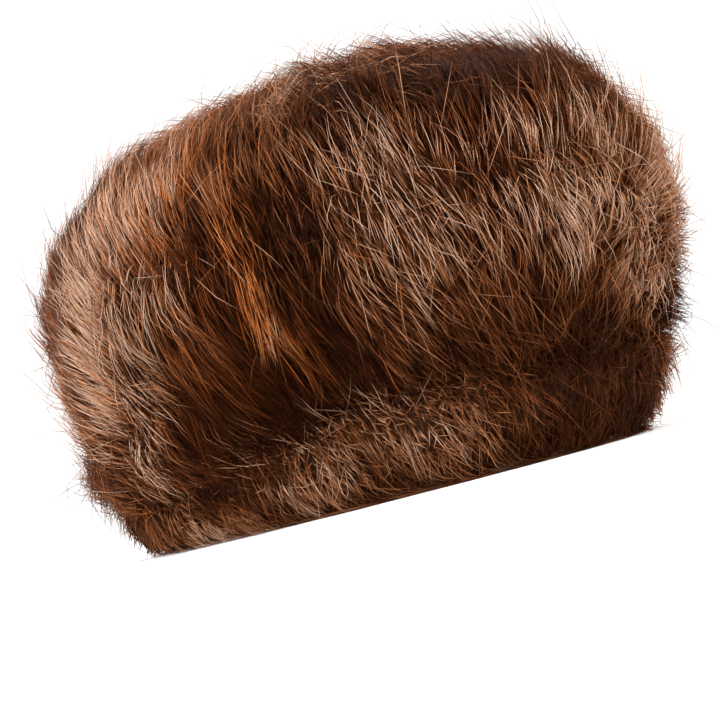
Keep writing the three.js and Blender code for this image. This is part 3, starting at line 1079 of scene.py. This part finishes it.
# %% Fit hairs to the hat, the floor and the box
GROOVE_HEIGHT, GROOVE_WIDTH = 33, 12
GROOVE_BULGE = 7 * MM
SPLAY = 0.6
MOST_SPLAY = 4 * MM
LIMIT = np.array([8.5, 9, 14]) * MM


def fill_groove(lines):
    """Lets the hair at the sides and the back bridge the groove over the band."""
    points = lines.reshape(-1, 3)
    side = np.maximum(zone(points, ("aside", 62, 90)), zone(points, ("turn", -25, -42)))
    bulge = GROOVE_BULGE * side * bell(height_of(points), GROOVE_HEIGHT, GROOVE_WIDTH)
    return (points + sideways(points) * bulge[:, None]).reshape(lines.shape)


def splay_on_floor(lines, floor):
    """Turns what would go through the floor outwards, so that hair spreads where it stands."""
    low = np.maximum(floor[:, None] - lines[:, :, 2], 0)
    out = sideways(lines.reshape(-1, 3)).reshape(lines.shape)
    lines = lines + out * np.minimum(low * SPLAY, MOST_SPLAY)[:, :, None]
    lines[:, :, 2] += low
    return lines


def keep_size(lines):
    """Lets hair stand out of the CAD box by less and less, and never by more than the limit."""
    low, high = np.array(cad_low), np.array(cad_high)
    over, under = np.maximum(lines - high, 0), np.maximum(low - lines, 0)
    over, under = (LIMIT * (1 - np.exp(-beyond / LIMIT)) - beyond for beyond in (over, under))
    return lines + over - under


print("hair may stand out of the box by", (LIMIT / MM).round(1), "mm at most")

# %% [markdown]
# A coat is grown in four layers on each piece of pelt: long guard hair, a shorter and denser
# coat under it, short down close to the skin, and a few stray hairs that cross the rest. One
# layer of even hair would be lighter, but it looks like a brush.

# %% Grow one layer of hair
LOOSE_ANGLE, COMBED_ANGLE, FRONT_ANGLE = 0.5, 0.10, 0.15
LENGTHS = (0.7, 1.12)
WIDTHS = (0.7, 1.25)
LIFTS = (0.7, 1.3)
DEEP, DEEP_TO_TOP = 0.35, 0.75
LEAST_LIFT = 1 * MM
SWELL, SWELL_WAVE = 0.3, 26 * MM
CURL = 7
PULLS = (0.1, 0.75)
LOCK_TONE = 0.11
FLOOR_TIPS = (0.3, 1.2)
TRIMMED_UNDER = 0.5


def grow(node, layer, count, length, width, lift, spacing, seed, steps=3, wild=0.0, bright=0.0):
    """Grows one layer of hair on an underfur body and makes it a piece of its own."""
    random = np.random.default_rng(seed)
    points, normals = scatter(underfur[node], count, random)
    rank = random.random(count)
    sign = tips_up(points, node, random)
    loose = random.random(count) < loose_share(points, node, wild)
    combed = FRONT_ANGLE if node == "front_flap" else COMBED_ANGLE
    stray = random.normal(0, np.where(loose, LOOSE_ANGLE, combed))
    lengths = length * random.uniform(*LENGTHS, count)
    if wild < TRIMMED_UNDER:
        lengths *= np.where(sign > 0, room_below(points, node), 1)
    swell = 1 + SWELL * waves(points, SWELL_WAVE, seed=41)
    # The rank sets the height in the coat here and the tone later, so deep hair is also painted darker.
    lifts = lift * (DEEP + DEEP_TO_TOP * rank) * swell * random.uniform(*LIFTS, count)
    lifts = np.maximum(lifts + extra_lift(points, node), LEAST_LIFT)
    curl = random.normal(0, CURL, count)
    lines, places, soft, good = lay(
        points, normals, LIES.get(node, flap_lie), sign, stray, lengths, lifts, steps, curl,
        stiffness(points, node, sign),
    )
    pull = random.uniform(*PULLS, count) * (1 - min(wild, 1))
    owner, heads = share_out(points, spacing, random)
    gather(points, lines, owner, heads, pull)
    rank = rank + random.normal(0, LOCK_TONE, len(heads))[owner]
    lines[:, 1:] = fill_groove(lines[:, 1:])
    lines[:, 1:] = splay_on_floor(lines[:, 1:], random.uniform(*FLOOR_TIPS, count) * MM)
    lines = keep_size(lines)
    tones = hair_tones(points, node, np.clip(rank + bright, 0, 1), random)
    widths = width * random.uniform(*WIDTHS, count)
    mesh = hair_mesh(f"{node}_{layer}", lines[good], places, soft[good], widths[good], tones[good])
    piece = bpy.data.objects.new(mesh.name, mesh)
    link(piece)
    stand_in(piece, node)
    print(piece.name, good.sum(), "hairs in", len(heads), "locks,", len(mesh.polygons), "triangles")
    return piece


print("a hair is", LENGTHS, "of its layer's length, and", WIDTHS, "of its width")

# %% [markdown]
# A real pelt has some hundred thousands of hairs. This coat has fewer and thicker ones, which a
# viewer can still turn. It could be one piece, but a piece for each layer of each fur solid keeps
# them small and easy to find. A layer gives the rule, and the table says what differs from it.

# %% The whole coat
LAYERS = {
    "guard": {"width": 0.34 * MM, "lift": 10 * MM, "spacing": 7 * MM, "bright": 0.08},
    "coat": {"width": 0.40 * MM, "lift": 7.5 * MM, "spacing": 5 * MM, "steps": 2},
    "stray": {"width": 0.27 * MM, "lift": 19 * MM, "spacing": 3 * MM, "wild": 0.7, "bright": 0.25},
    # The down is darker: partly its own colour, partly painted shade deep in the coat.
    "down": {
        "width": 0.6 * MM, "lift": 4 * MM, "spacing": 4 * MM,
        "steps": 2, "wild": 0.3, "bright": -0.30,
    },
}
# Each row: fur solid, layer, count, length in millimetres, random seed, and what differs.
COATS = [
    ("front_flap", "guard", 7400, 28, 11, {"lift": 11.5 * MM}),
    ("right_ear_flap", "guard", 5400, 38, 12),
    ("left_ear_flap", "guard", 5400, 38, 13),
    ("neck_flap", "guard", 6200, 33, 14),
    ("crown_fur", "guard", 4600, 32, 15),
    ("rim_band", "guard", 3400, 24, 16, {"width": 0.30 * MM, "bright": 0.14}),
    ("front_flap", "coat", 15500, 17, 21, {"lift": 8.5 * MM}),
    ("right_ear_flap", "coat", 9600, 22, 22),
    ("left_ear_flap", "coat", 9600, 22, 23),
    ("neck_flap", "coat", 11500, 20, 24),
    ("crown_fur", "coat", 9000, 20, 25),
    ("rim_band", "coat", 11000, 13, 26),
    ("front_flap", "stray", 1100, 34, 41),
    ("right_ear_flap", "stray", 450, 38, 42),
    ("left_ear_flap", "stray", 450, 38, 43),
    ("neck_flap", "stray", 600, 34, 44),
    ("crown_fur", "stray", 500, 34, 45),
    ("rim_band", "stray", 700, 28, 46, {"lift": 12 * MM}),
    ("front_flap", "down", 4000, 10, 31),
    ("right_ear_flap", "down", 1800, 10, 32),
    ("left_ear_flap", "down", 1800, 10, 33),
    ("neck_flap", "down", 2500, 10, 34),
    ("rim_band", "down", 6500, 9, 35, {"bright": -0.05}),
    ("crown_fur", "down", 3000, 12, 36, {"bright": -0.15}),
]
coats = []
for node, layer, count, length, seed, *changes in COATS:
    rule = LAYERS[layer] | dict(*changes)
    coats.append(grow(node, layer, count, length * MM, seed=seed, **rule))
print(len(coats), "pieces of hair,", sum(len(p.data.polygons) for p in coats), "triangles")

# %% [markdown]
# All hair shares one finish. Its own map holds the tone of a hair across and the place along the
# hair upwards, so one colour ramp gives the tones and a second one darkens the roots. Fur that
# shines too much looks grey against white light, so the gloss is weak and warm.

# %% Guard hair finish
PALETTE = [
    (0.0, (0.018, 0.0036, 0.0008)),
    (0.16, (0.050, 0.0130, 0.0036)),
    (0.32, (0.130, 0.041, 0.0130)),
    (0.46, (0.262, 0.099, 0.037)),
    (0.58, (0.40, 0.192, 0.102)),
    (0.68, (0.52, 0.315, 0.21)),
    (0.76, (0.61, 0.43, 0.33)),
    (0.81, (0.045, 0.011, 0.0025)),
    (0.87, (0.24, 0.060, 0.011)),
    (0.93, (0.48, 0.155, 0.040)),
    (1.0, (0.70, 0.29, 0.10)),
]
ALONG = [
    (0.0, (0.07, 0.03, 0.015)),
    (0.3, (0.32, 0.20, 0.13)),
    (0.62, (0.9, 0.83, 0.77)),
    (1.0, (1.0, 1.0, 1.0)),
]
hair_finish, tree, shader = new_material("guard_hair", roughness=0.42, gloss=0.06)
own_map = add_node(tree, "ShaderNodeUVMap", uv_map="OFBake")
split = add_node(tree, "ShaderNodeSeparateXYZ")
tree.links.new(own_map.outputs["UV"], split.inputs["Vector"])
blend = add_node(tree, "ShaderNodeMix", data_type="RGBA", blend_type="MULTIPLY")
blend.inputs["Factor"].default_value = 1.0
tree.links.new(ramp(tree, split.outputs["X"], PALETTE), blend.inputs[6])
tree.links.new(ramp(tree, split.outputs["Y"], ALONG), blend.inputs[7])
tree.links.new(blend.outputs[2], shader.inputs["Base Color"])
set_inputs(shader, {"Specular Tint": (1.0, 0.70, 0.50, 1)})
for piece in coats:
    piece.data.materials.append(hair_finish)
print(hair_finish.name, "has", len(PALETTE), "tones and is on", len(coats), "pieces")

# %% [markdown]
# Inside, the hat shows the back of the hide, a brown suede. It is seen only from below. The CAD
# crown has the right shape, so it keeps its mesh and only gets this finish: a cloudy brown, a
# fine nap as bump, and a sheen. A displaced mesh would add nothing that the eye can see there.

# %% Hide of the crown
hide_finish, tree, shader = new_material("hide", roughness=0.85, gloss=0.2)
shade = ramp(tree, streaked_noise(tree, scale=60, stretch=1, detail=10), [
    (0.30, (0.060, 0.031, 0.018)),
    (0.55, (0.098, 0.054, 0.033)),
    (0.75, (0.140, 0.082, 0.052)),
])
tree.links.new(shade, shader.inputs["Base Color"])
nap = streaked_noise(tree, scale=1400, stretch=1, detail=6)
bumped(tree, shader, nap, strength=0.6, distance=0.3 * MM)
set_inputs(shader, {
    "Sheen Weight": 0.35,
    "Sheen Roughness": 0.5,
    "Sheen Tint": (0.75, 0.55, 0.42, 1),
})
for slot in frame["nodes"]["crown"].material_slots:
    slot.material = hide_finish
print("slots of the crown", len(frame["nodes"]["crown"].material_slots))

# %% [markdown]
# A plain flat tape under the fur holds the ear flaps up. It also keeps its CAD mesh. Its ribs
# could be modelled, but the fur hides nearly all of them. Two wave patterns on its own
# coordinates, the stronger of the two at each place, give them.

# %% Tape over the crown
RIB_PITCH = 2 * math.pi * 1.1 * MM
WAVE_RADIANS = 20

tape_finish, tree, shader = new_material("tape", roughness=0.6, gloss=0.3)
place = add_node(tree, "ShaderNodeTexCoord")
weave = add_node(tree, "ShaderNodeMath", operation="MAXIMUM")
for socket, axis in enumerate("XY"):
    ribs = add_node(tree, "ShaderNodeTexWave", wave_type="BANDS", bands_direction=axis)
    set_inputs(ribs, {"Scale": 2 * math.pi / (WAVE_RADIANS * RIB_PITCH), "Distortion": 0.3})
    tree.links.new(place.outputs["Object"], ribs.inputs["Vector"])
    tree.links.new(ribs.outputs["Fac"], weave.inputs[socket])
shade = ramp(tree, weave.outputs["Value"], [
    (0.2, (0.012, 0.006, 0.004)),
    (0.9, (0.055, 0.028, 0.018)),
])
tree.links.new(shade, shader.inputs["Base Color"])
bumped(tree, shader, weave.outputs["Value"], strength=0.7, distance=0.3 * MM)
for slot in frame["nodes"]["flap_tie"].material_slots:
    slot.material = tape_finish
print("ribs of the tape are", round(RIB_PITCH / MM, 1), "mm apart")
